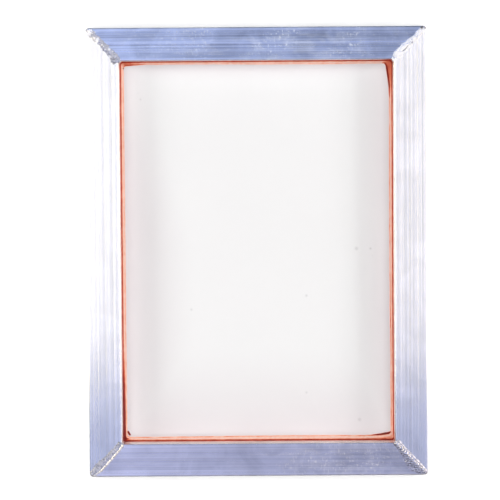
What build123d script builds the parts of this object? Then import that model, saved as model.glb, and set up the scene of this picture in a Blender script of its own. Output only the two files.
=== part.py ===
from build123d import *
import os

# A welded aluminium screen printing frame, lying flat with its print face down.
# Millimetres, +Z up, +Y towards the top rail, origin at the centre of the print face.

# Frame
frame_width = 310.0
frame_length = 410.0
rail_width = 30.0
rail_height = 20.0
wall = 2.0
long_edge_radius = 1.0
hollow_radius = 0.5

# Die lines: shallow grooves along each rail's upper face, in from its outside edge
die_line_places = (8.5, 16.0, 23.5)
die_line_width = 0.9
die_line_depth = 0.05

# Welds
bead_width = 7.0
bead_height = 1.0
weld_prep = 1.0
corner_radius = 3.5
inner_weld_legs = {"top": 3.5, "bottom": 2.0}

# Mesh and the adhesive that soaks through it
mesh_thickness = 0.15
mesh_trim = 5.0
adhesive_trim = 4.0
adhesive_below_mesh = 0.10
adhesive_above_mesh = 0.15
adhesive_inner_lip = 3.0

# Adhesive squeezed out inside the opening, on top of the mesh
glue_bead_width = 4.2
glue_bead_height = 2.4
glue_edge = 0.08
pool_height = 1.2
pool_bulge = 2.0
pool_reach = {
    ("top", "left"): (23.0, 9.0),
    ("top", "right"): (10.0, 27.0),
    ("bottom", "left"): (9.0, 17.0),
    ("bottom", "right"): (25.0, 9.0),
}

# Heights and places that follow from the driving sizes
mesh_bottom = adhesive_below_mesh
mesh_top = mesh_bottom + mesh_thickness
rail_bottom = mesh_top + adhesive_above_mesh
rail_top = rail_bottom + rail_height
half_width = frame_width / 2
half_length = frame_length / 2
opening_half_width = half_width - rail_width
opening_half_length = half_length - rail_width
section_depth = rail_width + glue_bead_width

vertical_signs = {"top": 1, "bottom": -1}
sideways_signs = {"left": -1, "right": 1}
corners = [(v, s) for v in vertical_signs for s in sideways_signs]


def save(shape, node):
    """Writes one node as its own STEP file."""
    export_step(shape, os.path.join("parts", node + ".step"))


def outline(*points):
    """A flat face with straight sides between the points."""
    return make_face(Polyline(*points, close=True))


def single(shape):
    """The one solid of a cut or joined shape."""
    return shape.solids()[0]


# The four sides. A section is drawn once, as a section through any side: its first
# axis is the distance in from the frame's outside edge and its second is the height.

def side_plane(side):
    """The section's plane at the middle of a side, with its first axis pointing inwards."""
    if side in vertical_signs:
        outward = Vector(0, vertical_signs[side], 0)
        middle = outward * half_length
    else:
        outward = Vector(sideways_signs[side], 0, 0)
        middle = outward * half_width
    along = (outward * -1).cross(Vector(0, 0, 1))
    return Plane(origin=middle, x_dir=outward * -1, z_dir=along)


def side_sector(side):
    """The part of the plan between a side's two mitre lines, as a tall prism."""
    half = half_width if side in vertical_signs else half_length
    sector = outline(
        (-half, 0),
        (half, 0),
        (half - section_depth, section_depth),
        (-half + section_depth, section_depth),
    )
    section = side_plane(side)
    plan = Plane(origin=section.origin, x_dir=section.z_dir, z_dir=(0, 0, 1))
    return extrude(plan * sector, amount=rail_top + bead_height)


def along_side(section, side):
    """A section run along a side and mitred at both ends."""
    run = extrude(side_plane(side) * section, amount=frame_length / 2, both=True)
    return run & side_sector(side)


def rail_outside():
    """The outside of the rail's section."""
    middle = Pos(rail_width / 2, rail_bottom + rail_height / 2)
    return middle * RectangleRounded(rail_width, rail_height, long_edge_radius)


def rail_section():
    """The rail's hollow section, with the die lines in its upper face."""
    hollow = RectangleRounded(
        rail_width - 2 * wall, rail_height - 2 * wall, hollow_radius
    )
    section = rail_outside() - Pos(rail_width / 2, rail_bottom + rail_height / 2) * hollow
    groove = outline(
        (-die_line_width / 2, 0), (0, -die_line_depth), (die_line_width / 2, 0)
    )
    for place in die_line_places:
        section -= Pos(place, rail_top) * groove
    return section


def adhesive_section():
    """Adhesive under a rail, wrapped round the trimmed edge of the mesh."""
    return outline(
        (adhesive_trim, 0),
        (rail_width + adhesive_inner_lip, 0),
        (rail_width + adhesive_inner_lip, mesh_bottom),
        (mesh_trim, mesh_bottom),
        (mesh_trim, mesh_top),
        (rail_width, mesh_top),
        (rail_width, rail_bottom),
        (adhesive_trim, rail_bottom),
    )


def glue_bead_section():
    """A hollow-faced bead of adhesive between the rail's inner wall and the mesh."""
    far = rail_width + glue_bead_width
    under_edge = rail_width - long_edge_radius
    top = mesh_top + glue_bead_height
    floor = Polyline(
        (rail_width - wall / 4, top),
        (under_edge, rail_bottom),
        (rail_width, rail_bottom),
        (rail_width, mesh_top),
        (far, mesh_top),
        (far, mesh_top + glue_edge),
    )
    hollow_face = ThreePointArc(
        (far, mesh_top + glue_edge),
        (rail_width + glue_bead_width * 0.45, mesh_top + glue_bead_height * 0.29),
        (rail_width, top),
    )
    lip = Line((rail_width, top), (rail_width - wall / 4, top))
    return make_face(floor + hollow_face + lip) - rail_outside()


# The four corners

def corner_plane(vertical, sideways, height):
    """A plane at a corner of the opening, whose axes point away from the frame's centre."""
    x_sign = sideways_signs[sideways]
    y_sign = vertical_signs[vertical]
    flipped = x_sign * y_sign
    corner = (x_sign * opening_half_width, y_sign * opening_half_length, height)
    return Plane(origin=corner, x_dir=(x_sign, 0, 0), z_dir=(0, 0, flipped))


def upright(face, vertical, sideways, low, high):
    """A plan outline drawn at a corner, raised from one height to another."""
    plane = corner_plane(vertical, sideways, low)
    rise = (high - low) * plane.z_dir.Z
    return extrude(plane * face, amount=rise)


def corner_rails_plan():
    """Where the rails' metal is round a corner, less the bevel for the outer weld."""
    bevel = rail_width - corner_radius
    return outline(
        (0, 0),
        (0, -bead_width),
        (rail_width, -bead_width),
        (rail_width, bevel),
        (bevel, rail_width),
        (-bead_width, rail_width),
        (-bead_width, 0),
    )


def outer_weld_plan():
    """The rounded weld that fills the bevel at the outside of a corner."""
    bevel = rail_width - corner_radius
    bulge = bevel + corner_radius * 0.5**0.5
    arc = ThreePointArc((rail_width, bevel), (bulge, bulge), (bevel, rail_width))
    chord = Line((bevel, rail_width), (rail_width, bevel))
    return make_face(arc + chord)


def inner_weld_plan(leg):
    """A hollow-faced fillet weld in the corner of the opening."""
    hollow = leg * (1 - 0.5**0.5)
    arc = ThreePointArc((-leg, 0), (-hollow, -hollow), (0, -leg))
    walls = Polyline((0, -leg), (0, 0), (-leg, 0))
    return make_face(arc + walls)


def mitre_run(section, vertical, sideways, height):
    """A section run outwards along a corner's mitre line, past both of its ends."""
    x_sign = sideways_signs[sideways]
    y_sign = vertical_signs[vertical]
    start = (
        x_sign * (opening_half_width - bead_width),
        y_sign * (opening_half_length - bead_width),
        height,
    )
    plane = Plane(origin=start, x_dir=(-y_sign, x_sign, 0), z_dir=(x_sign, y_sign, 0))
    return extrude(plane * section, amount=2 * (rail_width + bead_width))


def bead_section():
    """The crown of the weld bead, above the rails' faces."""
    crown = ThreePointArc((-bead_width / 2, 0), (0, bead_height), (bead_width / 2, 0))
    return make_face(crown + Line((bead_width / 2, 0), (-bead_width / 2, 0)))


def prep_section(into):
    """The groove along a mitre that the weld fills. Into is -1 for down and 1 for up."""
    return outline((-weld_prep, 0), (weld_prep, 0), (0, into * weld_prep))


def prep_weld(vertical, sideways, height, into):
    """Weld metal in the groove along a mitre, up to the rails' ends."""
    run = mitre_run(prep_section(into), vertical, sideways, height)
    metal = upright(corner_rails_plan(), vertical, sideways, rail_bottom, rail_top)
    return run & metal


def crown_plan(leg):
    """Where a bead's crown may lie: over the rails and over the two upright welds."""
    return corner_rails_plan() + outer_weld_plan() + inner_weld_plan(leg)


def face_weld(vertical, sideways):
    """The bead across a mitre on the ink side, rooted in its groove."""
    leg = inner_weld_legs[vertical]
    allowed = upright(
        crown_plan(leg), vertical, sideways, rail_top, rail_top + bead_height
    )
    crown = mitre_run(bead_section(), vertical, sideways, rail_top) & allowed
    return single(crown + prep_weld(vertical, sideways, rail_top, -1))


def rail(side):
    """One rail: a hollow run, mitred, bevelled and grooved at both ends for the welds."""
    metal = along_side(rail_section(), side)
    for vertical, sideways in corners:
        if side not in (vertical, sideways):
            continue
        tip = outline(
            (rail_width, rail_width - corner_radius),
            (rail_width, rail_width),
            (rail_width - corner_radius, rail_width),
        )
        metal -= upright(tip, vertical, sideways, rail_bottom, rail_top)
        metal -= mitre_run(prep_section(-1), vertical, sideways, rail_top)
        metal -= mitre_run(prep_section(1), vertical, sideways, rail_bottom)
    return single(metal)


def pool_plan(vertical, sideways):
    """Adhesive that ran into a corner of the opening and spread along its two walls."""
    reach_x, reach_y = pool_reach[(vertical, sideways)]
    width = glue_bead_width
    mouth = width + pool_bulge
    edge = Spline(
        (-reach_x, -width),
        (-mouth, -mouth),
        (-width, -reach_y),
        tangents=[(1, 0), (0, -1)],
    )
    walls = Polyline(
        (-width, -reach_y), (0, -reach_y), (0, 0), (-reach_x, 0), (-reach_x, -width)
    )
    return make_face(edge + walls)


def glue_pool(vertical, sideways):
    """One corner pool, up to the walls and the inner weld."""
    pool = upright(
        pool_plan(vertical, sideways), vertical, sideways, mesh_top, mesh_top + pool_height
    )
    weld_plan = inner_weld_plan(inner_weld_legs[vertical])
    return single(
        pool - upright(weld_plan, vertical, sideways, rail_bottom, rail_top)
    )


def glue_bead(side):
    """The bead along one side of the opening, between its two corner pools."""
    bead = along_side(glue_bead_section(), side)
    for vertical, sideways in corners:
        if side not in (vertical, sideways):
            continue
        reach_x, reach_y = pool_reach[(vertical, sideways)]
        cut = outline(
            (-reach_x, -reach_y),
            (rail_width, -reach_y),
            (rail_width, rail_width),
            (-reach_x, rail_width),
        )
        bead -= upright(cut, vertical, sideways, 0, rail_top)
    return single(bead)


def printing_mesh():
    """The stretched fabric, trimmed just inside the frame's outside edge."""
    sheet = Box(
        frame_width - 2 * mesh_trim, frame_length - 2 * mesh_trim, mesh_thickness
    )
    return Pos(0, 0, mesh_bottom + mesh_thickness / 2) * sheet


os.makedirs("parts", exist_ok=True)

for side in ("top", "bottom", "left", "right"):
    save(rail(side), side + "_rail")
    save(single(along_side(adhesive_section(), side)), "adhesive_band_" + side)
    save(glue_bead(side), "glue_bead_" + side)

for vertical, sideways in corners:
    corner = vertical + "_" + sideways
    leg = inner_weld_legs[vertical]
    save(face_weld(vertical, sideways), "face_weld_" + corner)
    save(
        single(prep_weld(vertical, sideways, rail_bottom, 1)), "back_weld_" + corner
    )
    save(
        upright(outer_weld_plan(), vertical, sideways, rail_bottom, rail_top),
        "outer_weld_" + corner,
    )
    save(
        upright(inner_weld_plan(leg), vertical, sideways, rail_bottom, rail_top),
        "inner_weld_" + corner,
    )
    save(glue_pool(vertical, sideways), "glue_pool_" + corner)

save(printing_mesh(), "printing_mesh")
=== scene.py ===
import math

import bmesh
import bpy
import numpy as np
from mathutils import Matrix, Vector, noise


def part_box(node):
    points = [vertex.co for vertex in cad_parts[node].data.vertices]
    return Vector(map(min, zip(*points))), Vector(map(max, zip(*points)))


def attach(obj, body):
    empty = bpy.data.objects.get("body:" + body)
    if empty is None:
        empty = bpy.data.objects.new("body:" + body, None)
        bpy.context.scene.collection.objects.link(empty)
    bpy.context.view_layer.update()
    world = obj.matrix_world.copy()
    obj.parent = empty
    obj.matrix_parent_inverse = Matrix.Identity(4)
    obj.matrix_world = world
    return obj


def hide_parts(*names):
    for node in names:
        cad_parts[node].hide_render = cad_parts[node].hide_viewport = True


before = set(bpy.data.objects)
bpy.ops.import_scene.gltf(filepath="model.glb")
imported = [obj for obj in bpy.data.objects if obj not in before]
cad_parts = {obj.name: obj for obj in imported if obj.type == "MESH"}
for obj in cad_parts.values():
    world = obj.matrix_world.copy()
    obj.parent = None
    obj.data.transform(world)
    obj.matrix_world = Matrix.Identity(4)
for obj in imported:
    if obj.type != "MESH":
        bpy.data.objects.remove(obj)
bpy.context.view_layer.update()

MM = 0.001

# Places that the frame gives
half_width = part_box("right_rail")[1].x
half_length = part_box("top_rail")[1].y
opening_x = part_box("right_rail")[0].x
opening_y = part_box("top_rail")[0].y
rail_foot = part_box("top_rail")[0].z
rail_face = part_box("top_rail")[1].z
mesh_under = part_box("printing_mesh")[0].z
mesh_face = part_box("printing_mesh")[1].z
mesh_half_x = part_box("printing_mesh")[1].x
mesh_half_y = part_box("printing_mesh")[1].y

# Which way each side lies, along Y and along X
VERTICAL = {"top": 1, "bottom": -1}
SIDEWAYS = {"left": -1, "right": 1}
CORNERS = [(vertical, sideways) for vertical in VERTICAL for sideways in SIDEWAYS]
SIDES = [*VERTICAL, *SIDEWAYS]

# The extrusion, from its outer edge inwards
RAIL_WIDTH = 30 * MM
FIRST_DIE_LINE = 8.5 * MM
DIE_LINE_PITCH = 7.5 * MM


# ---------------------------------------------------------------- camera and light

def make_camera():
    """Straight down on the ink side, from a little towards the top rail, with a long lens."""
    data = bpy.data.cameras.new("camera")
    data.sensor_width = 36.0
    data.lens = 173.4
    camera = bpy.data.objects.new("camera", data)
    bpy.context.scene.collection.objects.link(camera)
    place = Matrix.Translation((0.0066, 0.1074, 2.2137))
    roll = Matrix.Rotation(math.radians(-0.393), 4, "Z")
    tilt = Matrix.Rotation(math.radians(-2.747), 4, "X")
    lean = Matrix.Rotation(math.radians(0.327), 4, "Y")
    camera.matrix_world = place @ roll @ tilt @ lean
    data.clip_start = 0.05
    data.clip_end = 100.0
    bpy.context.scene.camera = camera


def softbox(name, place, aim, size, power, colour=(1, 1, 1), glossy=True, diffuse=True):
    """A rectangular studio light that the camera doesn't see."""
    data = bpy.data.lights.new(name, "AREA")
    data.shape = "RECTANGLE"
    data.size, data.size_y = size
    data.energy = power
    data.color = colour
    light = bpy.data.objects.new(name, data)
    bpy.context.scene.collection.objects.link(light)
    back = (Vector(place) - Vector(aim)).normalized()
    across = Vector((0, 1, 0)).cross(back).normalized()
    up = back.cross(across)
    turn = Matrix((across, up, back)).transposed().to_4x4()
    light.matrix_world = Matrix.Translation(place) @ turn
    light.visible_camera = False
    light.visible_glossy = glossy
    light.visible_diffuse = diffuse


# The side softboxes, which only the metal shows: which side, where the box starts along Y, and its
# power for each square metre. The ones on the right lie over each other, so that side fades in steps.
SIDE_BOXES = [(-1, -0.266, 18.4), (1, -0.26, 10.9), (1, -0.187, 5.9), (1, -0.1, 6.1), (1, 0.02, 16.6)]


def make_lights():
    """Soft light from above and from low at the sides, and the softboxes that the metal mirrors."""
    make_sky()
    softbox("overhead", (0, 0.1, 2.6), (0, 0, 0), (3.0, 3.0), 74, glossy=False)
    for sign in (-1, 1):
        softbox(f"low_side_{sign}", (sign * 1.6, 0, 0.72), (0, 0, 0), (0.5, 1.2), 12, glossy=False)
    for sign, lower_edge, power_per_area in SIDE_BOXES:
        upper_edge = 0.42
        size = (0.62, upper_edge - lower_edge)
        middle = (upper_edge + lower_edge) / 2
        place, aim = (sign * 1.05, middle, 1.05), (sign * 0.1, middle, 0)
        power = power_per_area * size[0] * size[1]
        warm = (1.0, 0.885, 0.60)
        softbox(f"side_{sign}_{lower_edge}", place, aim, size, power, warm, diffuse=False)


# How the overhead light changes from left to right: between two values of the direction's X, its
# level goes from one to the other. The levels multiply.
SKY_FADES = [
    (-0.25, -0.12, 0.62, 1.0),
    (-0.066, -0.054, 0.89, 1.0),
    (-0.055, -0.027, 1.75, 1.0),
    (0.0, 0.12, 1.0, 0.85),
    (0.12, 0.25, 1.0, 0.75),
]


def make_sky():
    """What the metal mirrors: bluish overhead, and low down dark on the left and bright on the right."""
    world = bpy.data.worlds.new("studio")
    bpy.context.scene.world = world
    world.use_nodes = True
    tree = world.node_tree
    sky = tree.nodes["Background"]
    direction = add(tree, "ShaderNodeTexCoord").outputs["Generated"]
    parts = add(tree, "ShaderNodeSeparateXYZ", {0: direction})
    x, y, z = parts.outputs
    overhead = blend(tree, fit(tree, y, -0.6, 0.3), (0.46, 0.45, 0.72, 1), (0.40, 0.52, 0.84, 1))
    level = combined(tree, "MULTIPLY", *[fit(tree, x, *fade) for fade in SKY_FADES])
    overhead = blend(tree, 1.0, overhead, level, "MULTIPLY")
    low = blend(tree, fit(tree, x, 0.12, 0.6), (0.10, 0.10, 0.12, 1), (1.6, 1.55, 1.6, 1))
    shade = blend(tree, fit(tree, z, 0.45, 0.85), low, overhead)
    tree.links.new(shade, sky.inputs["Color"])
    world.cycles_visibility.diffuse = False
    world.cycles_visibility.camera = False


def make_studio():
    """The floor, and round it a white surround that only the camera sees."""
    bpy.ops.mesh.primitive_plane_add(size=12, location=(0, 0, 0))
    floor = bpy.context.object
    floor.name = "floor"
    tree, shader = new_material("floor_white")
    shader.inputs["Base Color"].default_value = (0.93, 0.93, 0.93, 1)
    shader.inputs["Roughness"].default_value = 0.9
    shader.inputs["Specular IOR Level"].default_value = 0.0
    shader.inputs["Emission Color"].default_value = (1, 1, 1, 1)
    shader.inputs["Emission Strength"].default_value = 0.25
    floor.data.materials.append(bpy.data.materials["floor_white"])
    bpy.ops.mesh.primitive_uv_sphere_add(segments=48, ring_count=24, radius=20)
    surround = bpy.context.object
    surround.name = "surround"
    white = bpy.data.materials.new("surround_white")
    white.use_nodes = True
    nodes = white.node_tree.nodes
    nodes.clear()
    glow = nodes.new("ShaderNodeEmission")
    out = nodes.new("ShaderNodeOutputMaterial")
    white.node_tree.links.new(glow.outputs[0], out.inputs["Surface"])
    surround.data.materials.append(white)
    surround.visible_diffuse = False
    surround.visible_glossy = False
    surround.visible_transmission = False
    surround.visible_shadow = False


# ---------------------------------------------------------------- shader helpers

def new_material(name):
    """A material with one Principled shader: its node tree and that shader."""
    material = bpy.data.materials.new(name)
    material.use_nodes = True
    tree = material.node_tree
    return tree, tree.nodes["Principled BSDF"]


def add(tree, kind, inputs=None, **settings):
    """Adds a node. An input that is a socket gets linked, and any other value is set."""
    made = tree.nodes.new(kind)
    for key, value in settings.items():
        setattr(made, key, value)
    for key, value in (inputs or {}).items():
        if isinstance(value, bpy.types.NodeSocket):
            tree.links.new(value, made.inputs[key])
        else:
            made.inputs[key].default_value = value
    return made


def place_of(tree):
    """Where a surface point is in the frame, in metres."""
    return add(tree, "ShaderNodeTexCoord").outputs["Object"]


def stretched(tree, point, scale):
    """The point with each axis scaled, for grain that runs one way."""
    return add(tree, "ShaderNodeVectorMath", {0: point, 1: scale}, operation="MULTIPLY").outputs[0]


def cloud(tree, point, scale=1.0, detail=3.0, rough=0.5, swirl=0.0):
    """Smooth noise from 0 to 1."""
    inputs = {"Vector": point, "Scale": scale, "Detail": detail, "Roughness": rough, "Distortion": swirl}
    return add(tree, "ShaderNodeTexNoise", inputs).outputs[0]


def calc(tree, operation, a, b=0.0, clamp=False):
    """One step of arithmetic on two values."""
    return add(tree, "ShaderNodeMath", {0: a, 1: b}, operation=operation, use_clamp=clamp).outputs[0]


def fit(tree, value, low, high, to_low=0.0, to_high=1.0):
    """Maps low to high onto another range, and holds it there."""
    inputs = {"Value": value, "From Min": low, "From Max": high, "To Min": to_low, "To Max": to_high}
    return add(tree, "ShaderNodeMapRange", inputs).outputs[0]


def blend(tree, share, first, second, kind="MIX"):
    """Mixes two colours."""
    made = add(tree, "ShaderNodeMix", data_type="RGBA", blend_type=kind)
    for index, value in ((0, share), (6, first), (7, second)):
        if isinstance(value, bpy.types.NodeSocket):
            tree.links.new(value, made.inputs[index])
        else:
            made.inputs[index].default_value = value
    return made.outputs[2]


def ramp(tree, value, stops):
    """A colour ramp through (position, colour) stops."""
    made = add(tree, "ShaderNodeValToRGB", {"Fac": value})
    band = made.color_ramp
    while len(band.elements) < len(stops):
        band.elements.new(0.5)
    for element, (position, colour) in zip(band.elements, stops):
        element.position = position
        element.color = colour
    return made.outputs[0]


def bump(tree, height, strength, distance, under=None):
    """Relief from a height, laid over another bump if one is given."""
    inputs = {"Height": height, "Strength": strength, "Distance": distance}
    if under:
        inputs["Normal"] = under
    return add(tree, "ShaderNodeBump", inputs).outputs[0]


def combined(tree, operation, *values):
    """Several values put together, such as their sum."""
    result = values[0]
    for value in values[1:]:
        result = calc(tree, operation, result, value)
    return result


# ---------------------------------------------------------------- materials

def grain_axes(along):
    """The axis along the die lines or grinding marks, and the two axes across them."""
    lengthwise = Vector((1, 0, 0)) if along == "X" else Vector((0, 1, 0))
    return lengthwise, Vector((1, 1, 1)) - lengthwise


def across_grain(tree, along):
    """The direction across the die lines or grinding marks, where a highlight is stretched."""
    direction = {"X": float(along == "Y"), "Y": float(along == "X")}
    return add(tree, "ShaderNodeCombineXYZ", direction).outputs[0]


# Tone of each rail as (millimetres in from its outer edge, level): painted shade and highlights across the
# bands between its die lines, with bright lines at some die lines and a dark outer edge on the top and bottom
# rails
BAND_SHADING = {
    "top": [
        (0, 0.6), (0.8, 0.72), (1.3, 1.13), (2.6, 1.10), (3.6, 0.98), (7.4, 0.93), (8.5, 0.78), (9.4, 0.95),
        (12, 1.02), (13.4, 1.04), (14, 1.36), (14.8, 1.05), (16, 0.90), (17, 0.98), (17.7, 1.30), (18.4, 1.0),
        (22.4, 1.0), (23.5, 0.86), (24.5, 0.95), (27.5, 1.02), (28.8, 1.15), (30, 1.05),
    ],
    "bottom": [
        (0, 0.6), (0.7, 0.75), (1.4, 1.2), (3.5, 1.06), (6, 1.0), (8.5, 0.90), (9.4, 0.98), (15, 0.98),
        (16, 0.92), (16.8, 1.02), (22, 0.97), (23.5, 0.95), (25, 1.03), (27.5, 1.10), (29, 1.15), (30, 1.1),
    ],
    "side": [
        (0, 1.0), (1.5, 1.03), (8, 0.99), (8.5, 0.96), (9, 1.02), (16, 0.98), (16.5, 1.02), (23.5, 0.98),
        (24.2, 1.03), (30, 1.05),
    ],
}


def rail_material(name, along, bands, base, streak, handled, worn_at, crowned, rough, tint):
    """Mill-finish aluminium, whose die lines run along one axis of the frame.

    Bands names its row of BAND_SHADING, the painted shade and highlights across the rail; base is its overall
    tone, which differs from rail to rail as painted light and shade, and streak is how much its streaks
    differ from it. Handled is its wear, 0 to 1, and worn_at is where along the rail most of that is. Crowned
    is how high the bands between the die lines bulge, in millimetres.
    """
    tree, shader = new_material(name)
    point = place_of(tree)
    lengthwise, crosswise = grain_axes(along)
    parts = add(tree, "ShaderNodeSeparateXYZ", {0: point})
    place_along = parts.outputs[along]
    from_centre = calc(tree, "ABSOLUTE", parts.outputs["Y" if along == "X" else "X"])
    inwards = calc(tree, "SUBTRACT", half_length if along == "X" else half_width, from_centre)

    # Streaks, finer and broader, that come and go along the rail, the more so where it is worn
    drift = lengthwise * (1 + 8 * handled)
    hair = cloud(tree, stretched(tree, point, drift + crosswise * 1700), 1, 3, 0.65)
    line = cloud(tree, stretched(tree, point, drift * 0.4 + crosswise * 480), 1, 1, 0.6)
    drawn = cloud(tree, stretched(tree, point, drift * 0.8 + crosswise * 900), 1, 1, 0.6)
    tone = combined(
        tree, "ADD",
        fit(tree, hair, 0.35, 0.65, -0.5 * streak, 0.5 * streak),
        fit(tree, drawn, 0.3, 0.7, -1.6 * streak, 1.6 * streak),
        fit(tree, line, 0.37, 0.63, 1 - streak, 1 + streak),
    )

    # A ramp's colours stop at 1, so it holds half the levels
    # Painted shade and highlights across the rail, read from its row of the band table
    stops = [(place * MM / RAIL_WIDTH, (level / 2, level / 2, level / 2, 1)) for place, level in BAND_SHADING[bands]]
    half_level = ramp(tree, calc(tree, "DIVIDE", inwards, RAIL_WIDTH), stops)
    tone = calc(tree, "MULTIPLY", tone, calc(tree, "MULTIPLY", half_level, 2 * base))

    # Handling: soft smudges, wipe marks and short nicks across the rail, and fine scratches. Smudges
    # show on a rail with little other wear too.
    smudged = min(1.0, 2 * handled)
    smudge = cloud(tree, point, 30, 4, 0.55, 1.2)
    soft_mask = cloud(tree, stretched(tree, point, lengthwise * 42 + crosswise * 105), 1, 5, 0.62, 0.8)
    wipe = cloud(tree, stretched(tree, point, lengthwise * 380 + crosswise * 70), 1, 3, 0.55)
    nick = cloud(tree, stretched(tree, point, lengthwise * 760 + crosswise * 300), 1, 2, 0.5)
    scratch = cloud(tree, stretched(tree, point, lengthwise * 25 + crosswise * 1500), 1, 1, 0.5)
    from_worn = calc(tree, "ABSOLUTE", calc(tree, "SUBTRACT", place_along, worn_at))
    near_worn = fit(tree, from_worn, 0.035, 0.1, 1.0, 0.3)
    worn_here = fit(tree, cloud(tree, point, 14, 1, 0.5), 0.46, 0.60, 0.15 * handled, handled)
    worn_here = calc(tree, "MULTIPLY", worn_here, near_worn)
    wiped = calc(tree, "MULTIPLY", fit(tree, wipe, 0.52, 0.70), worn_here)
    nicked = calc(tree, "MULTIPLY", fit(tree, nick, 0.60, 0.67), worn_here)
    tone = combined(
        tree, "ADD",
        tone,
        fit(tree, smudge, 0.38, 0.62, -0.08 * smudged, 0.08 * smudged),
        calc(tree, "MULTIPLY", wiped, 0.1),
        calc(tree, "MULTIPLY", nicked, 0.25),
        fit(tree, scratch, 0.7, 0.76, 0.0, 0.5 * streak),
    )
    pale = combined(
        tree, "ADD",
        calc(tree, "MULTIPLY", fit(tree, soft_mask, 0.49, 0.58, 0.0, 0.13 * handled), near_worn),
        calc(tree, "MULTIPLY", wiped, 0.12),
        calc(tree, "MULTIPLY", nicked, 0.7),
    )
    tree.links.new(calc(tree, "SUBTRACT", 1.0, pale, clamp=True), shader.inputs["Metallic"])
    tone = calc(tree, "MINIMUM", calc(tree, "MAXIMUM", tone, 0.3), 0.98)
    colour = blend(tree, 1.0, tone, tint, "MULTIPLY")
    tree.links.new(colour, shader.inputs["Base Color"])
    tree.links.new(fit(tree, line, 0.3, 0.7, rough - 0.012, rough + 0.012), shader.inputs["Roughness"])
    shader.inputs["Anisotropic"].default_value = 1.0
    tree.links.new(across_grain(tree, along), shader.inputs["Tangent"])

    # The bands between the die lines are very slightly crowned
    from_first = calc(tree, "SUBTRACT", inwards, FIRST_DIE_LINE)
    one_band = {0: from_first, 1: 0.0, 2: DIE_LINE_PITCH}
    band = add(tree, "ShaderNodeMath", one_band, operation="WRAP").outputs[0]
    from_middle = calc(tree, "SUBTRACT", calc(tree, "DIVIDE", band, DIE_LINE_PITCH), 0.5)
    crown = calc(tree, "MULTIPLY", from_middle, from_middle)
    relief = bump(tree, crown, 1.0, -crowned * MM)
    tree.links.new(bump(tree, hair, 0.1, 0.02 * MM, relief), shader.inputs["Normal"])
    return bpy.data.materials[name]


def weld_material(name, tone_low, tone_high, tint, oxide=0.0, grain=None):
    """Dull weld metal, sooty in its ripples and pits, darker on the face beads' left sides as painted shade,
    and pale with oxide in patches.

    Oxide is how much of the surface that covers, and grain is the way that the weld was ground.
    """
    tree, shader = new_material(name)
    point = place_of(tree)
    mottle = cloud(tree, point, 420, 5, 0.65)
    patch = cloud(tree, point, 150, 4, 0.6)
    fine = cloud(tree, point, 2600, 4, 0.6)
    soot_and_shade = add(tree, "ShaderNodeAttribute", attribute_name="soot_and_shade").outputs["Fac"]
    tone = combined(
        tree, "ADD",
        fit(tree, mottle, 0.3, 0.7, tone_low, tone_high),
        fit(tree, patch, 0.3, 0.7, -0.1, 0.06),
        fit(tree, fine, 0.3, 0.7, -0.04, 0.04),
    )
    # Darkened where the piece says: sootiness, and on the face beads also painted shade on their left sides
    tone = calc(tree, "MULTIPLY", tone, fit(tree, soot_and_shade, 0.0, 1.0, 1.0, 0.12))
    colour = blend(tree, 1.0, tone, tint, "MULTIPLY")
    tree.links.new(colour, shader.inputs["Base Color"])
    tree.links.new(fit(tree, patch, 0.35, 0.65, 1 - 1.4 * oxide, 1 - 0.6 * oxide), shader.inputs["Metallic"])
    tree.links.new(fit(tree, mottle, 0.3, 0.75, 0.22, 0.36), shader.inputs["Roughness"])
    relief = bump(tree, fine, 0.35, 0.06 * MM)
    if grain:
        lengthwise, crosswise = grain_axes(grain)
        marks = stretched(tree, point, lengthwise * 70 + crosswise * 1900)
        relief = bump(tree, cloud(tree, marks, 1, 3, 0.6), 0.5, 0.05 * MM, relief)
        shader.inputs["Anisotropic"].default_value = 0.95
        tree.links.new(across_grain(tree, grain), shader.inputs["Tangent"])
    tree.links.new(relief, shader.inputs["Normal"])
    return bpy.data.materials[name]


def glue_material():
    """Two-part adhesive: near black-red where it is deep, salmon where it is a film."""
    tree, shader = new_material("adhesive")
    point = place_of(tree)
    depth = add(tree, "ShaderNodeAttribute", attribute_name="depth").outputs["Fac"]
    patch = cloud(tree, point, 160, 4, 0.6)
    shade = calc(tree, "MULTIPLY", depth, fit(tree, patch, 0.3, 0.7, 0.8, 1.25))
    colour = ramp(tree, shade, [
        (0.0, (0.90, 0.75, 0.69, 1)),
        (0.08, (0.94, 0.62, 0.51, 1)),
        (0.18, (0.92, 0.43, 0.29, 1)),
        (0.32, (0.75, 0.18, 0.09, 1)),
        (0.60, (0.46, 0.05, 0.025, 1)),
        (1.0, (0.20, 0.012, 0.008, 1)),
    ])
    tree.links.new(colour, shader.inputs["Base Color"])
    tree.links.new(fit(tree, patch, 0.3, 0.7, 0.28, 0.45), shader.inputs["Roughness"])
    shader.inputs["Specular IOR Level"].default_value = 0.2
    ripple = cloud(tree, point, 700, 3, 0.5)
    tree.links.new(bump(tree, ripple, 0.3, 0.1 * MM), shader.inputs["Normal"])
    return bpy.data.materials["adhesive"]


def weave_pattern(tree, point):
    """Plain weave of round threads, 0 in the gaps and 1 on the threads."""
    pitch = 0.22 * MM
    period_at_scale_1 = math.pi / 10
    threads = []
    for axis in ("X", "Y"):
        inputs = {"Vector": point, "Scale": period_at_scale_1 / pitch, "Distortion": 0.0}
        wave = add(tree, "ShaderNodeTexWave", inputs, bands_direction=axis)
        threads.append(wave.outputs["Fac"])
    return calc(tree, "MAXIMUM", *threads)


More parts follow.
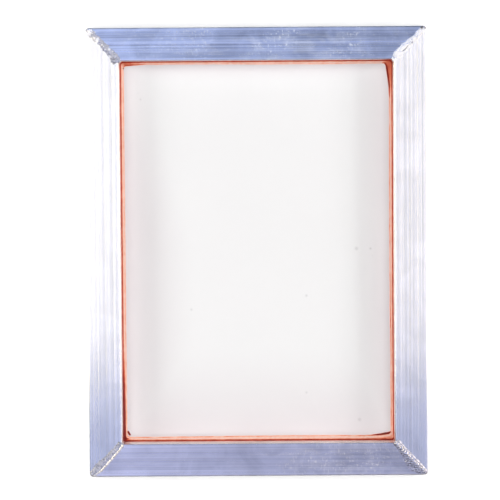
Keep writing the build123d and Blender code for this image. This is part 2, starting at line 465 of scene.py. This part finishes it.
def film_material():
    """Adhesive brushed through the weave, seen from the print side."""
    tree, shader = new_material("adhesive_film")
    point = place_of(tree)
    stroke = cloud(tree, point, 90, 5, 0.65)
    weave = weave_pattern(tree, point)
    colour = blend(tree, fit(tree, stroke, 0.3, 0.7), (0.72, 0.16, 0.07, 1), (0.88, 0.34, 0.18, 1))
    colour = blend(tree, calc(tree, "MULTIPLY", weave, 0.35), colour, (0.93, 0.62, 0.5, 1))
    tree.links.new(colour, shader.inputs["Base Color"])
    tree.links.new(fit(tree, stroke, 0.3, 0.7, 0.25, 0.5), shader.inputs["Roughness"])
    tree.links.new(bump(tree, weave, 0.3, 0.03 * MM), shader.inputs["Normal"])
    return bpy.data.materials["adhesive_film"]


# Small grey marks on the mesh: X, Y and radius in millimetres, and how dark
SPECKS = [
    (93.2, -156.1, 2.3, 0.36), (104.1, 1.9, 1.5, 0.26), (91.2, 2.0, 2.4, 0.15),
    (-106.3, 140.2, 1.3, 0.17), (44.4, -130.7, 1.7, 0.17), (44.9, -41.1, 1.8, 0.15),
    (-116.7, 17.2, 1.3, 0.13), (-61.1, -53.3, 1.6, 0.14), (-69.2, -136.5, 1.2, 0.09),
    (58.7, 119.8, 1.0, 0.07), (105.9, -4.6, 1.1, 0.10), (-108.4, 146.0, 1.0, 0.10),
]


def fabric_material():
    """White polyester monofilament mesh, a little grey with use, and pinkish grey near the walls: partly
    adhesive film under it, partly painted shade from the rails.
    """
    tree, shader = new_material("mesh_weave")
    point = place_of(tree)
    weave = weave_pattern(tree, point)
    cast = cloud(tree, point, 9, 3, 0.5)
    tone = calc(tree, "ADD", fit(tree, cast, 0.3, 0.7, 0.862, 0.872), calc(tree, "MULTIPLY", weave, 0.02))
    for x, y, radius, dark in SPECKS:
        ends = {0: point, 1: (x * MM, y * MM, mesh_face)}
        away = add(tree, "ShaderNodeVectorMath", ends, operation="DISTANCE").outputs["Value"]
        mark = fit(tree, away, 0.25 * radius * MM, radius * MM, dark, 0.0)
        tone = calc(tree, "SUBTRACT", tone, mark)

    # Painted shade near the walls, where the rails shade the mesh, tinted pink by the adhesive film under it:
    # it reaches a different way in from each wall, and from the left the less the further up
    parts = add(tree, "ShaderNodeSeparateXYZ", {0: point})
    x, y = parts.outputs["X"], parts.outputs["Y"]
    left_reach = fit(tree, y, 0.0, 0.15, 70 * MM, 32 * MM)
    nearest = combined(
        tree, "MINIMUM",
        calc(tree, "DIVIDE", calc(tree, "ADD", x, opening_x), left_reach),
        calc(tree, "DIVIDE", calc(tree, "SUBTRACT", opening_x, x), 42 * MM),
        calc(tree, "DIVIDE", calc(tree, "ADD", y, opening_y), 90 * MM),
        calc(tree, "DIVIDE", calc(tree, "SUBTRACT", opening_y, y), 20 * MM),
    )
    soft_mask = calc(tree, "POWER", fit(tree, nearest, 0.06, 1.0, 1.0, 0.0), 1.5)
    soft_mask = calc(tree, "MULTIPLY", soft_mask, fit(tree, cast, 0.3, 0.7, 0.85, 1.1))
    colour = blend(tree, 1.0, tone, (1.0, 0.988, 0.985, 1), "MULTIPLY")
    # Pinkish grey mixed in near the walls: painted shade, with some adhesive tint
    colour = blend(tree, soft_mask, colour, (0.755, 0.695, 0.71, 1))
    tree.links.new(colour, shader.inputs["Base Color"])
    shader.inputs["Roughness"].default_value = 0.55
    shader.inputs["Specular IOR Level"].default_value = 0.3
    tree.links.new(bump(tree, weave, 0.2, 0.04 * MM), shader.inputs["Normal"])
    tree.links.new(fit(tree, weave, 0.0, 1.0, 0.86, 0.98), shader.inputs["Alpha"])
    return bpy.data.materials["mesh_weave"]


# ---------------------------------------------------------------- geometry helpers

def piece(name, verts, faces, material, slot, *stands_for):
    """A finished mesh piece on the frame's one body. It can stand for CAD nodes, which it replaces."""
    mesh = bpy.data.meshes.new(name)
    mesh.from_pydata([tuple(v) for v in verts], [], faces)
    shape = bmesh.new()
    shape.from_mesh(mesh)
    bmesh.ops.recalc_face_normals(shape, faces=shape.faces)
    shape.to_mesh(mesh)
    shape.free()
    mesh.shade_smooth()
    mesh.set_sharp_from_angle(angle=math.radians(48))
    mesh.materials.append(material)
    made = bpy.data.objects.new(name, mesh)
    bpy.context.scene.collection.objects.link(made)
    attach(made, "root")
    if stands_for:
        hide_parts(*stands_for)
    return made


def skin(rings):
    """Vertices and faces of a closed skin over a row of closed rings. Each end fans from its last point."""
    rings = np.asarray(rings, float)
    count, around = rings.shape[:2]
    faces = []
    for row in range(count - 1):
        for step in range(around):
            after = (step + 1) % around
            a, b = row * around + step, row * around + after
            faces.append((a, b, b + around, a + around))
    for first in (0, (count - 1) * around):
        faces += [(first + around - 1, first + step, first + step + 1) for step in range(around - 2)]
    return rings.reshape(-1, 3), faces


def set_value(made, name, values):
    """Stores one number for each vertex, for the material to read."""
    attribute = made.data.attributes.new(name, "FLOAT", "POINT")
    attribute.data.foreach_set("value", np.asarray(values, np.float32).ravel())


def wander(place, scale, seed):
    """Smooth noise from about -1 to 1 along a line. Each seed reads the noise at another place."""
    return noise.noise(Vector((place * scale, seed * 7.31, seed * 1.7)))


def wander2(x, y, scale, seed):
    """Smooth noise from about -1 to 1 over a surface."""
    return noise.noise(Vector((x * scale, y * scale, seed * 3.17)))


def smooth(value):
    """An S-curve from 0 to 1."""
    value = min(1.0, max(0.0, value))
    return value * value * (3 - 2 * value)


def along_table(pairs, place):
    """A value that runs evenly between a few (place, value) pairs."""
    places, values = zip(*pairs)
    return float(np.interp(place, places, values))


# ---------------------------------------------------------------- welds

# Each bead across a mitre, in millimetres: S runs from the opening's corner to the outside corner,
# and T across it, positive towards the frame's right. Left, right and ridge are (S, value) pairs.
#   metal            its material
#   crown, dome      its height, and how steeply that falls to its edges
#   ripple, pitch    the height and spacing of its ripples
#   lump             how uneven it is
#   stain, toe       sooty speckle over its left side, and darkening along its left edge: painted shade on that side
#   left, right      its width either side
#   dents            (S, T, radius, depth, soot), where soot below 0 is a clean place
#   slits            (S from, S to, T, half width, depth)
#   ridge            T of a raised line, which is crest high and crest_wide wide
WELDS = {
    ("top", "left"): {
        "seed": 3, "metal": "weld_ground_x", "crown": 0.16, "dome": 1.4, "ripple": 0.02, "pitch": 3.2,
        "lump": 0.06, "soot_and_shade_left": 0.75,
        "left": [(-2, 8.6), (3, 6.2), (8, 4.2), (16, 3.6), (22, 2.4), (27, 2.8), (31, 3.8), (36, 3.8),
                 (41, 3.0)],
        "right": [(-2, 3.0), (4, 4.0), (30, 3.8), (36, 4.2), (41, 3.8)],
        "dents": [(13, -1.8, 1.6, 0.1, 0.3), (20.5, -0.6, 1.3, 0.1, 0.3), (4, -3.5, 2.2, 0.1, 0.35),
                  (1.5, -5.6, 1.5, 0.1, 0.45), (33.5, -2.6, 1.0, 0.1, 0.5), (39.0, -1.2, 0.8, 0.1, 0.6)],
    },
    ("top", "right"): {
        "seed": 11, "metal": "weld_ground_y", "crown": 0.18, "dome": 1.2, "ripple": 0.015, "pitch": 3.4,
        "lump": 0.04,
        "left": [(-1, 2.4), (3, 4.0), (7, 4.7), (20, 4.6), (24, 3.6), (29.6, 2.2), (34, 3.8), (41, 3.4)],
        "right": [(-1, 2.4), (4, 3.4), (30, 3.2), (41, 3.0)],
        "dents": [(38.4, -2.2, 1.5, 0.5, 1.1), (37.2, -1.2, 0.7, 0.3, 0.6), (40.0, 0.5, 0.75, 0.4, 0.9),
                  (22.5, 1.6, 0.8, 0.2, 0.5), (28, 2.0, 0.8, 0.2, 0.45), (34.5, 3.2, 1.1, 0.3, 0.45)],
        "slits": [(10.4, 18.2, 1.0, 0.34, 0.5)],
    },
    ("bottom", "left"): {
        "seed": 19, "metal": "weld_dull", "crown": 0.38, "dome": 1.2, "ripple": 0.08, "pitch": 2.5,
        "lump": 0.09, "soot_and_shade_left": 0.3, "toe": 0.2, "crest": 0.40, "crest_wide": 0.65,
        "left": [(-1, 4.4), (3, 4.2), (10, 3.7), (20, 3.4), (28, 4.8), (35, 4.4), (41, 2.8)],
        "right": [(-1, 2.6), (5, 3.4), (16, 3.9), (24, 4.5), (34, 4.5), (41, 2.8)],
        "dents": [(30, -1.5, 3.2, 0.1, -0.4)],
        "ridge": [(-1, 1.0), (6.5, 2.2), (16, 2.9), (23, 3.4), (34, 3.4), (41, 1.6)],
    },
    ("bottom", "right"): {
        "seed": 27, "metal": "weld_sooty", "crown": 0.85, "dome": 0.9, "ripple": 0.42, "pitch": 2.3,
        "lump": 0.24, "soot_and_shade_left": 0.8, "toe": 0.12, "crest": 0.45, "crest_wide": 0.55,
        "left": [(-1, 2.2), (4, 2.6), (10, 3.8), (20, 5.8), (27, 7.6), (33, 8.6), (38, 6.0), (41, 3.0)],
        "right": [(-1, 3.6), (3, 4.4), (8, 4.0), (16, 3.6), (33, 3.2), (41, 2.8)],
        "dents": [(37.6, 1.2, 1.9, -0.5, -0.5), (40.3, -0.8, 0.9, 0.5, 0.9), (39.9, 0.6, 0.7, 0.4, 0.8)],
        "ridge": [(-1, 2.0), (3, 3.2), (9, 3.0), (20, 2.6), (33, 2.3), (41, 1.4)],
    },
}
CORNER_ROUND = 3.5 * MM


def mitre_end(t):
    """How far along a mitre the metal goes, at a place across it: to the rounded outside corner."""
    centre = (half_width - opening_x - CORNER_ROUND) * math.sqrt(2)
    side = CORNER_ROUND / math.sqrt(2)
    if abs(t) < side:
        return centre + math.sqrt(CORNER_ROUND ** 2 - t * t)
    return (half_width - opening_x) * math.sqrt(2) - abs(t)


def weld_height(style, s, t, share, room):
    """Height of a bead above the rails' faces, and how dark it is, 0 to 1: sooty in its ripples, dents and
    slits, and darker on its left side as painted shade.

    Share is the place across the bead, -1 to 1, and room is how far it is from the bead's nearer end.
    """
    lowest, sunk = 0.1 * MM, 0.04 * MM
    end_drop, end_reach = 0.75 * MM, 1.3 * MM
    seed = style["seed"]
    dome = max(0.0, 1 - share * share) ** style["dome"]
    crown = style["crown"] * MM * (1 + 0.2 * wander(s, 180, seed + 1))
    trail = max(0.55 * math.sqrt((t / MM) ** 2 + 0.5), -0.95 * t / MM)
    phase = (s / MM + trail) / style["pitch"]
    phase += 0.45 * wander(s, 330, seed + 3) + 0.25 * wander2(s, t, 500, seed + 9)
    wave = abs(math.sin(math.pi * phase))
    ripple = style["ripple"] * MM * (wave - 0.6) * (1 + 0.8 * wander2(s, t, 300, seed + 4))
    lump = style["lump"] * MM * (wander2(s, t, 340, seed + 5) + 0.7 * wander2(s, t, 900, seed + 6))
    height = (crown + ripple + lump) * dome
    soot_and_shade = max(0.0, 1 - wave * 2.2) * min(1.0, style["ripple"] / 0.25) * dome * 0.8
    speckle = wander2(s, t, 800, seed + 12) + 0.6 * wander2(s, t, 1700, seed + 13)
    # Sooty speckle over the bead's left side, and a dark left edge: kept to the left, they are painted shade
    # for the side that faces away from the light
    left = smooth((0.35 - share) / 0.9)
    soot_and_shade += style.get("soot_and_shade_left", 0.0) * left * max(0.0, speckle) * 1.6
    soot_and_shade += style.get("toe", 0.0) * smooth((-share - 0.2) / 0.5)
    for place_s, place_t, radius, deep, dark in style["dents"]:
        away = math.hypot(s / MM - place_s, t / MM - place_t) / radius
        hollow = math.exp(-away ** 3)
        height -= deep * MM * hollow
        soot_and_shade = max(soot_and_shade, dark * hollow) if dark > 0 else soot_and_shade * (1 + dark * hollow)
    for start, stop, place_t, wide, deep in style.get("slits", []):
        inside = smooth((s / MM - start) / 0.6) * smooth((stop - s / MM) / 0.6)
        away = (t / MM - place_t - 0.25 * math.sin(s / MM)) / wide
        hollow = inside * math.exp(-away * away)
        height -= deep * MM * hollow
        soot_and_shade = max(soot_and_shade, hollow)
    if "ridge" in style:
        ridge_t = along_table(style["ridge"], s / MM) + 0.3 * wander(s, 400, seed + 14)
        away = (t / MM - ridge_t) / style["crest_wide"]
        crest = math.exp(-away * away)
        height += style["crest"] * MM * crest
        # The crest is kept nearly clean, so that it shows as a lighter line: painted highlight on a real
        # ridge
        soot_and_shade *= 1 - 0.9 * crest
    height = max(height, lowest * min(1.0, 3 * dome))
    height -= end_drop * max(0.0, 1 - room / end_reach) ** 2
    return height - sunk, min(soot_and_shade, 1.0)


def face_weld(vertical, sideways):
    """The bead across one mitre, from the opening's corner to the outside corner."""
    style = WELDS[(vertical, sideways)]
    sign_x, sign_y = SIDEWAYS[sideways], VERTICAL[vertical]
    along = Vector((sign_x, sign_y, 0)).normalized()
    across = Vector((along.y, -along.x, 0))
    if across.x < 0:
        across = -across
    start = Vector((sign_x * opening_x, sign_y * opening_y, 0))
    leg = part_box(f"inner_weld_{vertical}_{sideways}")
    nose = (leg[1].x - leg[0].x) * (math.sqrt(2) - 1)
    corner = f"{vertical}_{sideways}"
    seed = style["seed"]
    rows, columns = 215, 44
    skirt, keel = 0.3 * MM, 0.5 * MM
    rings, soot_and_shade_rows = [], []
    for row in range(rows + 1):
        share_s = row / rows
        ring, soot_and_shade_row = [], []
        centre_s = -nose + (mitre_end(0) + nose) * share_s
        wobble = 1 + 0.2 * wander(centre_s, 260, seed + 7) + 0.08 * wander(centre_s, 900, seed + 8)
        widths = []
        for side in ("left", "right"):
            width = along_table(style[side], centre_s / MM) * MM * wobble
            from_end = min(centre_s + nose, mitre_end(0) - centre_s)
            widths.append(min(width, 0.5 * MM + from_end * 1.6 + 0.9 * math.sqrt(from_end * 2 * MM)))
        for column in range(columns + 1):
            share = -1 + 2 * column / columns
            t = share * widths[0] if share < 0 else share * widths[1]
            end = mitre_end(t) - 0.1 * MM
            first = -nose * max(0.0, 1 - (t / (2.4 * MM)) ** 2) - 0.25 * abs(t)
            s = first + (end - first) * share_s
            room = min(end - s, s - first + 0.8 * MM)
            height, soot_and_shade = weld_height(style, s, t, share, room)
            spot = start + along * s + across * t
            ring.append((spot.x, spot.y, rail_face + height))
            soot_and_shade_row.append(soot_and_shade)

        # Its underside, inside the rails: a skirt at each edge, and a keel along the middle
        low = min(ring[0][2], ring[-1][2]) - skirt
        ring.append((ring[-1][0], ring[-1][1], low))
        middle = start + along * (0.995 * centre_s)
        ring.append((middle.x, middle.y, low - keel))
        ring.append((ring[0][0], ring[0][1], low))
        rings.append(ring)
        soot_and_shade_rows.append(soot_and_shade_row + [0.0, 0.0, 0.0])
    verts, faces = skin(rings)
    metal = MATERIALS[style["metal"]]
    made = piece(f"weld_bead_{corner}", verts, faces, metal, "weld_aluminium", f"face_weld_{corner}")
    set_value(made, "soot_and_shade", soot_and_shade_rows)
    if style["metal"] == "weld_ground_x":
        # Its outermost part was ground along the side rail too, and so were patches further in
        all_ground = 5.4 * MM
        made.data.materials.append(MATERIALS["weld_ground_y"])
        for face in made.data.polygons:
            inwards = half_width - face.center.x * sign_x
            patch = wander2(*face.center.xy, 420, seed + 30) + 0.5 * wander2(*face.center.xy, 1100, seed + 31)
            face.material_index = int(inwards < all_ground or patch > 0.02 * inwards / MM - 0.17)


def upright_weld(name, node, vertical, sideways, plan, seed, ripple, top_pull):
    """A quarter-round weld that runs up a corner, with a top edge that is pulled in.

    Plan is the round's centre, its radius, 1 if it bulges and -1 if it is hollow, and the place
    behind it. Places are (X, Y) as they are at the top right corner.
    """
    (centre_x, centre_y), radius, bulge, (back_x, back_y) = plan
    rows, columns = 90, 20
    ripple_pitch, top_reach = 1.9 * MM, 1.2 * MM
    low, high = rail_foot, rail_face - 0.02 * MM
    sign_x, sign_y = SIDEWAYS[sideways], VERTICAL[vertical]
    rings, soot_and_shade_rows = [], []
    for row in range(rows + 1):
        z = low + (high - low) * row / rows
        pull = top_pull * max(0.0, 1 - (high - z) / top_reach) ** 2
        ring, soot_and_shade_row = [], []
        for column in range(columns + 1):
            turn = column / columns
            cos, sin = math.cos(math.pi / 2 * turn), math.sin(math.pi / 2 * turn)
            middle = math.sin(math.pi * turn)
            phase = (z + 0.8 * MM * middle) / ripple_pitch + 0.3 * wander(z, 500, seed)
            wave = abs(math.sin(math.pi * phase))
            push = ripple * (wave - 0.6) + 0.1 * MM * wander2(z, turn * 0.005, 700, seed + 5) - pull
            reach = radius + bulge * push * middle
            ring.append((sign_x * (centre_x + reach * cos), sign_y * (centre_y + reach * sin), z))
            soot_and_shade_row.append(max(0.0, 1 - wave * 2.2) * middle * 0.7)
        ring.append((sign_x * back_x, sign_y * back_y, z))
        rings.append(ring)
        soot_and_shade_rows.append(soot_and_shade_row + [0.0])
    verts, faces = skin(rings)
    # The fillets in the opening get a lighter copy of the weld metal: painted highlight
    metal = "weld_painted_highlight" if node.startswith("inner") else "weld_dull"
    made = piece(name, verts, faces, MATERIALS[metal], "weld_aluminium", node)
    set_value(made, "soot_and_shade", soot_and_shade_rows)


def make_welds():
    """At each corner, the bead on the face, the one down the outside and the fillet in the opening."""
    for vertical, sideways in CORNERS:
        corner = f"{vertical}_{sideways}"
        seed = WELDS[(vertical, sideways)]["seed"]
        face_weld(vertical, sideways)
        low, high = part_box(f"outer_weld_{corner}")
        radius = high.x - low.x
        centre = (half_width - radius, half_length - radius)
        behind = (centre[0] + 0.42 * radius, centre[1] + 0.42 * radius)
        upright_weld(f"corner_weld_{corner}", f"outer_weld_{corner}", vertical, sideways,
                     (centre, radius, 1, behind), seed + 40, ripple=0.12 * MM, top_pull=0.5 * MM)
        low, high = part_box(f"inner_weld_{corner}")
        leg = high.x - low.x
        centre = (opening_x - leg, opening_y - leg)
        behind = (opening_x + 0.05 * MM, opening_y + 0.05 * MM)
        upright_weld(f"opening_weld_{corner}", f"inner_weld_{corner}", vertical, sideways,
                     (centre, leg, -1, behind), seed + 60, ripple=0.2 * MM, top_pull=0.3 * MM)


# ---------------------------------------------------------------- adhesive

# How wide the adhesive is along each wall, as (place, width) in millimetres, and its rim's thickness
GLUE_WIDTHS = {
    "top": [(-125, 3.5), (-60, 3.2), (10, 3.8), (60, 4.0), (125, 3.6)],
    "bottom": [(-125, 4.4), (-60, 4.6), (30, 5.0), (125, 4.8)],
    "left": [(-175, 3.9), (-100, 4.0), (0, 3.9), (90, 3.8), (175, 3.8)],
    "right": [(-175, 3.3), (-100, 3.4), (-20, 4.0), (60, 3.9), (175, 3.5)],
}
GLUE_RIMS = {"top": 0.06, "bottom": 0.16, "left": 0.08, "right": 0.16}

# How it spreads from each corner along the level wall (top or bottom) and the upright one (left or
# right), in millimetres: how far it reaches, how much wider and deeper it gets, how far out its deep
# part goes as a share of the width, how much thicker its rim gets, and how suddenly.
SPREADS = {
    ("top", "left"): {"level": (24, 1.3, 0.35, 0.85, 0.5, 0.6), "upright": (7, 0.3, 0.0, 0.7, 0.1, 1)},
    ("top", "right"): {"level": (10, 1.0, 0.4, 0.8, 1.0, 0.6), "upright": (34, 3.4, 0.38, 0.85, 1.5, 0.7)},
    ("bottom", "left"): {"level": (8, 0.6, 0.6, 0.7, 0.05, 1), "upright": (84, 0.2, 1.5, 0.66, 0.0, 1)},
    ("bottom", "right"): {"level": (27, 2.6, 0.22, 0.5, 3.0, 1.6), "upright": (7, 0.5, 0.1, 0.7, 0.1, 1)},
}
GLUE_CLIMB = 2.4 * MM
GLUE_FILM = 0.08 * MM


class Spread:
    """The adhesive at one place along a wall: how wide it is, how high it climbs, its fill and its rim."""

    def __init__(self, side, place):
        level = side in VERTICAL
        seed = 5 + SIDES.index(side) * 9
        self.seed, self.place = seed, place
        self.width = along_table(GLUE_WIDTHS[side], place / MM) * MM
        self.width += 0.22 * MM * wander(place, 90, seed) + 0.14 * MM * wander(place, 330, seed + 1)
        self.climb = GLUE_CLIMB * (1 + 0.15 * wander(place, 90, seed + 2))
        self.fill, self.fill_to = 0.0, 0.7
        self.rim = GLUE_RIMS[side] * MM * (1 + 0.8 * wander(place, 110, seed + 3))
        self.rim_wide = 0.42 * MM
        self.climb_to = (2.0 if side == "bottom" else 1.7) * MM
        for vertical, sideways in CORNERS:
            if side not in (vertical, sideways):
                continue
            spread = SPREADS[(vertical, sideways)]["level" if level else "upright"]
            reach, wider, deeper, fill_to, rim, sudden = spread
            sign = SIDEWAYS[sideways] if level else VERTICAL[vertical]
            along = (opening_x if level else opening_y) - sign * place
            near = max(0.0, 1 - along / (reach * MM))
            self.width += wider * MM * near ** 1.5
            self.fill += deeper * MM * near ** 1.2
            self.rim += rim * MM * near ** sudden
            self.rim_wide += 0.3 * rim * MM * near ** sudden
            if near:
                self.fill_to = fill_to

    def mixed(self, other, share):
        """This place, part of the way to another one."""
        made = Spread.__new__(Spread)
        made.seed, made.place = self.seed, self.place
        for name in ("width", "climb", "climb_to", "fill", "fill_to", "rim", "rim_wide"):
            mine, others = getattr(self, name), getattr(other, name)
            setattr(made, name, mine + (others - mine) * share)
        return made

    def section(self, away, width):
        """Height, and depth as the colour shows it, at a distance from the wall.

        The width is given because a cut across a corner is wider. Adhesive that climbs the wall is seen
        edge on, so it looks less deep than it is high.
        """
        wall = self.climb * max(0.0, 1 - away / self.climb_to) ** 1.8
        edge = smooth((width - away) / (0.5 * MM))
        film = GLUE_FILM * (1 + 0.5 * wander2(self.place, away, 420, self.seed + 4))
        fill = self.fill * smooth((self.fill_to * width - away) / (0.8 * MM))
        rim = self.rim * math.exp(-((away - width + 0.75 * MM) / self.rim_wide) ** 2)
        spread = (film + rim) * edge + fill
        seen = 0.65 * (0.2 + 0.8 * smooth(away / (0.9 * MM)))
        return wall + spread, wall * seen + spread


def glue_strip(name, node, stations):
    """A run of adhesive over stations of (wall point, edge point, spread)."""
    columns = 26
    sunk, tucked_in = 0.01 * MM, 0.3 * MM
    rings, depths = [], []
    for outer, inner, spread in stations:
        width = math.dist(outer, inner)
        top, values = [], []
        for step in range(columns + 1):
            share = (step / columns) ** 1.15
            thick, deep = spread.section(share * width, width)
            x = outer[0] + (inner[0] - outer[0]) * share
            y = outer[1] + (inner[1] - outer[1]) * share
            top.append((x, y, mesh_face + thick))
            values.append(deep / MM)

        # Its foot is sunk into the mesh, and tucked into the wall
        foot = mesh_face - sunk
        out_x = outer[0] + (outer[0] - inner[0]) * tucked_in / width
        out_y = outer[1] + (outer[1] - inner[1]) * tucked_in / width
        rings.append(top + [(inner[0], inner[1], foot), (out_x, out_y, foot)])
        depths.append(values + [0.0, 0.2])
    verts, faces = skin(rings)
    made = piece(name, verts, faces, MATERIALS["glue"], "adhesive_bead", node)
    set_value(made, "depth", depths)


def glue_side(side):
    """The adhesive along one wall, between its corner pools."""
    level = side in VERTICAL
    sign = VERTICAL[side] if level else SIDEWAYS[side]
    low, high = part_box(f"glue_bead_{side}")
    begin, end = (low.x, high.x) if level else (low.y, high.y)
    wall = opening_y if level else opening_x
    count = 420
    stations = []
    for step in range(count + 1):
        place = begin + (end - begin) * step / count
        spread = Spread(side, place)
        outer, inner = sign * (wall + 0.02 * MM), sign * (wall - spread.width)
        if level:
            stations.append(((place, outer), (place, inner), spread))
        else:
            stations.append(((outer, place), (inner, place), spread))
    glue_strip(f"glue_line_{side}", f"glue_bead_{side}", stations)


def glue_corner(vertical, sideways):
    """Adhesive round one corner of the opening, in stations that fan out from the wall."""
    sign_x, sign_y = SIDEWAYS[sideways], VERTICAL[vertical]
    corner = f"{vertical}_{sideways}"
    low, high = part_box(f"glue_pool_{corner}")
    reach_x, reach_y = high.x - low.x, high.y - low.y
    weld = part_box(f"inner_weld_{corner}")
    leg = weld[1].x - weld[0].x

    def at(side, along):
        wall = opening_x if side in VERTICAL else opening_y
        sign = sign_x if side in VERTICAL else sign_y
        return Spread(side, sign * (wall - along))

    first, last = at(vertical, leg), at(sideways, leg)
    inner_round = max(first.width, last.width) + 1.6 * MM
    straight, bend = 60, 24
    stations = []

    def station(wall_x, wall_y, edge_x, edge_y, spread):
        stations.append(((sign_x * wall_x, sign_y * wall_y), (sign_x * edge_x, sign_y * edge_y), spread))

    for step in range(straight + 1):
        along = reach_x - (reach_x - leg) * step / straight
        share = (along - leg) / (reach_x - leg)
        spread = at(vertical, along)
        edge_x = opening_x - along - (inner_round - leg) * (1 - share) ** 2
        station(opening_x - along, opening_y, edge_x, opening_y - spread.width, spread)
    for step in range(1, bend):
        share = step / bend
        angle = math.pi / 2 * (1 - share)
        cos, sin = math.cos(angle), math.sin(angle)
        edge_x = opening_x - inner_round + (inner_round - last.width) * cos
        edge_y = opening_y - inner_round + (inner_round - first.width) * sin
        wall_x, wall_y = opening_x - leg + leg * cos, opening_y - leg + leg * sin
        station(wall_x, wall_y, edge_x, edge_y, first.mixed(last, share))
    for step in range(straight + 1):
        along = leg + (reach_y - leg) * step / straight
        share = (along - leg) / (reach_y - leg)
        spread = at(sideways, along)
        edge_y = opening_y - along - (inner_round - leg) * (1 - share) ** 2
        station(opening_x, opening_y - along, opening_x - spread.width, edge_y, spread)
    glue_strip(f"glue_corner_{corner}", f"glue_pool_{corner}", stations)


def glue_drip(name, path, radius, height):
    """A small run of adhesive that dried on the mesh, along a few (X, Y) points in millimetres."""
    around, steps = 16, 40
    rings, depths = [], []
    curve = [Vector((x, y)) * MM for x, y in path]
    for step in range(steps + 1):
        place = step / steps * (len(curve) - 1)
        index = min(int(place), len(curve) - 2)
        spot = curve[index].lerp(curve[index + 1], place - index)
        ahead = (curve[index + 1] - curve[index]).normalized()
        side = Vector((-ahead.y, ahead.x))
        full = math.sqrt(max(0.02, 1 - (2 * step / steps - 1) ** 4))
        ring, values = [], []
        for turn in range(around + 1):
            angle = math.pi * turn / around
            offset = side * math.cos(angle) * radius * MM * full
            rise = math.sin(angle) * height * MM * full
            ring.append((spot.x + offset.x, spot.y + offset.y, mesh_face - 0.01 * MM + rise))
            values.append(0.35 + rise / MM)
        rings.append(ring)
        depths.append(values)
    verts, faces = skin(rings)
    made = piece(name, verts, faces, MATERIALS["glue"], "adhesive_bead")
    set_value(made, "depth", depths)


def make_glue():
    """The adhesive inside the opening, with two drips beside it."""
    for side in SIDES:
        glue_side(side)
    for vertical, sideways in CORNERS:
        glue_corner(vertical, sideways)
    glue_drip("glue_drip_bottom_left", [(-120.7, -165.2), (-119.9, -167.4), (-118.4, -169.5)], 0.95, 0.9)
    glue_drip("glue_spot_top_left", [(-122.0, 169.0), (-121.4, 168.3)], 0.75, 0.7)


# ---------------------------------------------------------------- mesh

def make_mesh():
    """The stretched fabric: one flat closed sheet, finely divided."""
    columns, rows = 60, 80
    verts, faces = [], []
    for z in (mesh_face, mesh_under):
        for row in range(rows + 1):
            for column in range(columns + 1):
                x = mesh_half_x * (2 * column / columns - 1)
                y = mesh_half_y * (2 * row / rows - 1)
                verts.append((x, y, z))
    layer = (rows + 1) * (columns + 1)

    def quad(*corners):
        """A face through four (row, column, side) corners."""
        faces.append([side * layer + row * (columns + 1) + column for row, column, side in corners])

    for row in range(rows):
        for column in range(columns):
            for side in (0, 1):
                quad((row, column, side), (row, column + 1, side),
                     (row + 1, column + 1, side), (row + 1, column, side))
    for column in range(columns):
        for row in (0, rows):
            quad((row, column, 0), (row, column + 1, 0), (row, column + 1, 1), (row, column, 1))
    for row in range(rows):
        for column in (0, columns):
            quad((row, column, 0), (row + 1, column, 0), (row + 1, column, 1), (row, column, 1))
    fabric = piece("mesh_fabric", verts, faces, MATERIALS["fabric"], "mesh_polyester", "printing_mesh")


# ---------------------------------------------------------------- putting it together

def paint(node, material):
    """Gives a CAD node its material."""
    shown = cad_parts[node]
    shown.data.materials.clear()
    shown.data.materials.append(material)


make_camera()
make_lights()
make_studio()
MATERIALS = {
    # The four rails are one extrusion: their different base tones and tints are painted light and shade, set
    # to match how brightly and in what colour each rail is lit
    "top_rail": rail_material(
        "aluminium_top", "X", "top", base=0.77, streak=0.09, handled=1.0, worn_at=0.015,
        crowned=0.12, rough=0.28, tint=(0.945, 0.97, 1.0, 1)),
    "bottom_rail": rail_material(
        "aluminium_bottom", "X", "bottom", base=0.80, streak=0.06, handled=0.45, worn_at=0.085,
        crowned=0.12, rough=0.28, tint=(1.0, 0.93, 0.89, 1)),
    "left_rail": rail_material(
        "aluminium_left", "Y", "side", base=0.86, streak=0.035, handled=0.2, worn_at=0.0,
        crowned=0.03, rough=0.265, tint=(0.985, 0.99, 1.0, 1)),
    "right_rail": rail_material(
        "aluminium_right", "Y", "side", base=0.84, streak=0.042, handled=0.25, worn_at=0.0,
        crowned=0.055, rough=0.265, tint=(1.0, 0.99, 0.985, 1)),
    "weld_ground_x": weld_material("weld_ground_x", 0.62, 0.88, (1.0, 0.92, 0.82, 1), oxide=0.22, grain="X"),
    "weld_ground_y": weld_material("weld_ground_y", 0.92, 1.0, (1.0, 0.98, 0.95, 1), grain="Y"),
    "weld_dull": weld_material("weld_dull", 0.42, 0.78, (1.0, 0.96, 0.95, 1), oxide=0.24),
    # A lighter copy of the weld metal, for the fillets in the opening: painted highlight
    "weld_painted_highlight": weld_material("weld_painted_highlight", 0.72, 0.94, (0.93, 0.96, 1.0, 1)),
    "weld_sooty": weld_material("weld_sooty", 0.44, 0.95, (0.98, 0.94, 1.0, 1), oxide=0.15),
    "glue": glue_material(),
    "film": film_material(),
    "fabric": fabric_material(),
}
for side in SIDES:
    paint(f"{side}_rail", MATERIALS[f"{side}_rail"])
    paint(f"adhesive_band_{side}", MATERIALS["film"])
for vertical, sideways in CORNERS:
    paint(f"back_weld_{vertical}_{sideways}", MATERIALS["weld_dull"])
make_welds()
make_glue()
make_mesh()

bpy.context.scene.view_settings.view_transform = "Standard"
